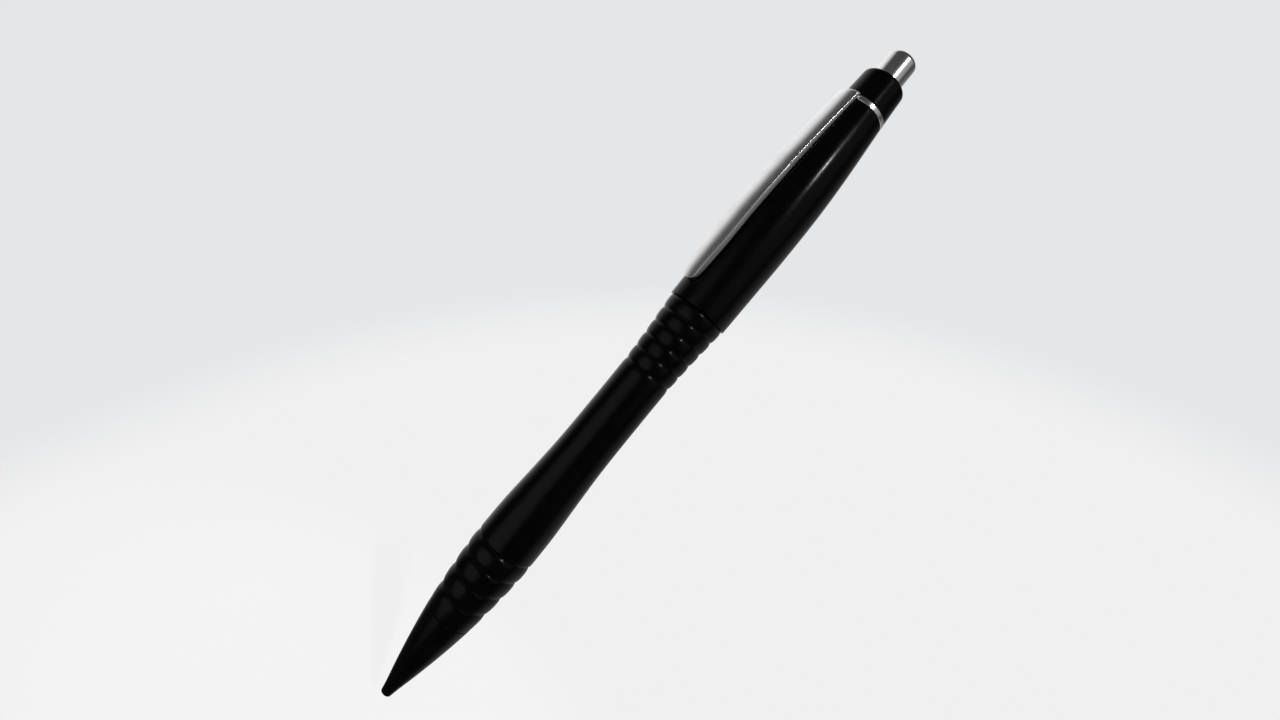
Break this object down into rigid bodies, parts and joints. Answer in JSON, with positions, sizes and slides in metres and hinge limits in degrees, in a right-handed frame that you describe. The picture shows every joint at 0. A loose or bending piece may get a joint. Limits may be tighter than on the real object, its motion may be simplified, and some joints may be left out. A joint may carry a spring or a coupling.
{
  "type": "retractable ballpoint pen",
  "caption": "Slim retractable ballpoint pen with a ribbed grip, waisted barrel, sprung metal pocket clip and metal push button.",
  "frame": {"origin": "centre of the mouth in the nose's end, on the pen's axis", "axes": "+Z along the pen's axis from the nose to the push button; the pocket clip is on the -Y side; X completes a right-handed frame"},
  "size_m": [0.0118, 0.0134, 0.14],
  "materials": {
    "gloss_black": "glossy black lacquered plastic",
    "polished_metal": "polished nickel-plated steel",
    "spring_steel": "drawn spring wire",
    "point_steel": "turned stainless steel",
    "ball_carbide": "ground tungsten carbide",
    "brass": "turned brass",
    "white_plastic": "moulded white acetal",
    "clear_plastic": "clear extruded tube",
    "ink": "thick dark ink",
    "grease": "pale follower grease"
  },
  "bodies": {
    "upper_body": {"upper_barrel": "gloss_black", "thread_sleeve": "brass", "guide_sleeve": "brass", "clip_ring": "polished_metal", "top_collar": "gloss_black"},
    "clip": {"clip_arm": "polished_metal"},
    "button": {"button_cap": "polished_metal", "push_driver": "white_plastic"},
    "rotor": {"cam_rotor": "white_plastic"},
    "refill": {"refill_tube": "clear_plastic", "ink_column": "ink", "grease_plug": "grease", "spring_collar": "point_steel", "point_housing": "brass", "needle_tube": "point_steel", "writing_ball": "ball_carbide"},
    "spring": {"return_spring": "spring_steel"},
    "lower_body": {"lower_barrel": "gloss_black", "nose_cone": "gloss_black"}
  },
  "joints": [
    {"name": "button_press", "type": "slide", "parent": "upper_body", "child": "button", "axis": [0, 0, -1], "range_m": [0, 0.004], "stiffness_N_per_m": 350, "springref_m": -0.003, "deforming": ["return_spring"]},
    {"name": "rotor_slide", "type": "slide", "parent": "upper_body", "child": "rotor", "axis": [0, 0, -1], "range_m": [0, 0.004]},
    {"name": "refill_slide", "type": "slide", "parent": "upper_body", "child": "refill", "axis": [0, 0, -1], "range_m": [0, 0.004]},
    {"name": "clip_flex", "type": "hinge", "parent": "upper_body", "child": "clip", "pos_m": [0, -0.0043, 0.12845], "axis": [-1, 0, 0], "range_deg": [0, 4], "stiffness_Nm_per_rad": 3},
    {"name": "barrel_advance", "type": "slide", "parent": "upper_body", "child": "spring", "axis": [0, 0, -1], "range_m": [0, 0.00375]},
    {"name": "barrel_unscrew", "type": "hinge", "parent": "spring", "child": "lower_body", "pos_m": [0, 0, 0], "axis": [0, 0, -1], "range_deg": [0, 1080]}
  ],
  "couplings": [
    {"joint": "rotor_slide", "follows": "button_press", "ratio": 1},
    {"joint": "refill_slide", "follows": "button_press", "ratio": 1},
    {"joint": "barrel_unscrew", "follows": "barrel_advance", "rad_per_m": 5026.5}
  ]
}
